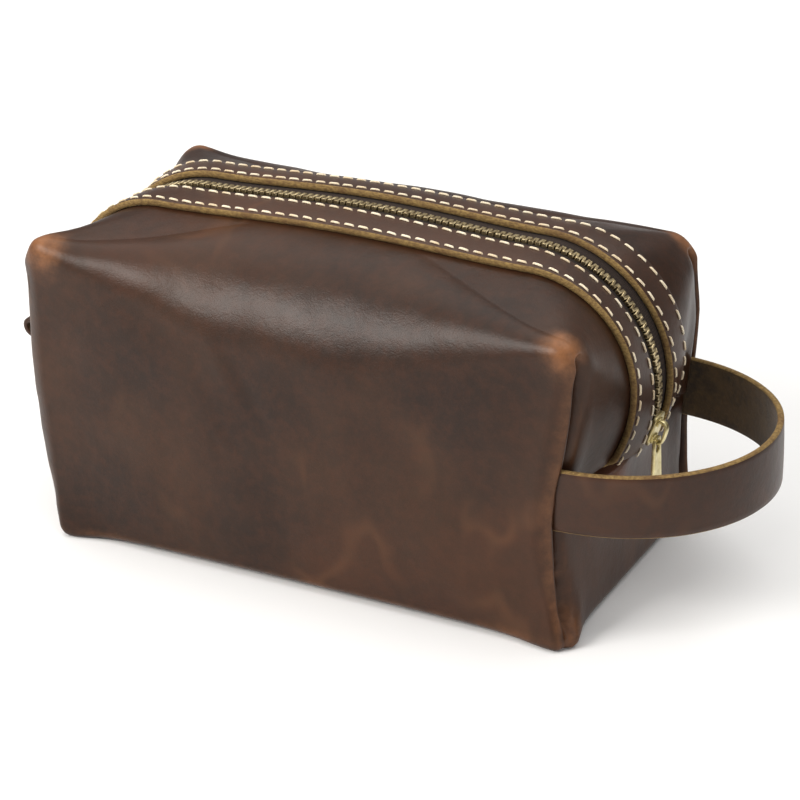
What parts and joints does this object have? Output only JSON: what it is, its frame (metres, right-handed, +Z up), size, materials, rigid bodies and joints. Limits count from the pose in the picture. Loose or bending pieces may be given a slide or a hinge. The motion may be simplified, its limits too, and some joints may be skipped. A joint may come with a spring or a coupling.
{
  "type": "shaving kit bag",
  "caption": "Boxy brown leather wash bag with a brass zip over the top, stitched facing strips, a leather carrying loop and a folded end tab.",
  "frame": {"origin": "centre of the flat base, on the surface the bag stands on", "axes": "+X along the bag towards the end with the carrying loop, +Y towards the back, +Z up"},
  "size_m": [0.3457, 0.128, 0.1479],
  "materials": {
    "body_leather": "waxed pull-up leather, soft sheen",
    "strip_leather": "waxed leather with raw tan edges",
    "strap_leather": "waxed outside, rough flesh side inside",
    "zip_tape": "woven",
    "antique_metal": "antique",
    "light_brass": "polished",
    "cream_thread": "waxed thread"
  },
  "bodies": {
    "bag": {"body_leather": "body_leather", "bottom_stop": "antique_metal", "corner_thread_left_front": "cream_thread", "corner_thread_left_back": "cream_thread", "corner_thread_right_front": "cream_thread", "corner_thread_right_back": "cream_thread", "end_seam_thread_left": "cream_thread", "end_seam_thread_right": "cream_thread"},
    "mouth_front": {"zip_strip_front": "strip_leather", "zip_tape_front": "zip_tape", "zip_teeth_front": "antique_metal", "top_stop_front": "antique_metal", "stitch_row_front_inner": "cream_thread", "stitch_row_front_outer": "cream_thread"},
    "mouth_back": {"zip_strip_back": "strip_leather", "zip_tape_back": "zip_tape", "zip_teeth_back": "antique_metal", "top_stop_back": "antique_metal", "stitch_row_back_inner": "cream_thread", "stitch_row_back_outer": "cream_thread"},
    "slider": {"slider_body": "light_brass", "slider_bridge": "light_brass"},
    "pull": {"pull_tab": "light_brass"},
    "loop": {"handle_strap": "strap_leather"},
    "tab": {"end_tab": "strap_leather"}
  },
  "joints": [
    {"name": "mouth_opening", "type": "hinge", "parent": "bag", "child": "mouth_front", "pos_m": [0, 0, 0.062], "axis": [1, 0, 0], "range_deg": [0, 15], "deforming": ["body_leather", "zip_strip_front", "zip_tape_front", "zip_teeth_front"]},
    {"name": "mouth_opening_back", "type": "hinge", "parent": "bag", "child": "mouth_back", "pos_m": [0, 0, 0.062], "axis": [-1, 0, 0], "range_deg": [0, 15], "deforming": ["zip_strip_back", "zip_tape_back", "zip_teeth_back"]},
    {"name": "slider_travel", "type": "hinge", "parent": "mouth_front", "child": "slider", "pos_m": [0.074, 0, 0.0875], "axis": [0, -1, 0], "range_deg": [0, 90]},
    {"name": "pull_swing", "type": "hinge", "parent": "slider", "child": "pull", "pos_m": [0.12809, 0, 0.06685], "axis": [0, -1, 0], "range_deg": [-15, 115]},
    {"name": "loop_lift", "type": "hinge", "parent": "bag", "child": "loop", "pos_m": [0.1196, 0, 0.063], "axis": [0, -1, 0], "range_deg": [-35, 40], "deforming": ["handle_strap"]},
    {"name": "tab_lift", "type": "hinge", "parent": "bag", "child": "tab", "pos_m": [-0.1221, 0, 0.06], "axis": [0, 1, 0], "range_deg": [-45, 45], "deforming": ["end_tab"]}
  ],
  "couplings": [
    {"joint": "mouth_opening_back", "follows": "mouth_opening", "ratio": 1}
  ]
}
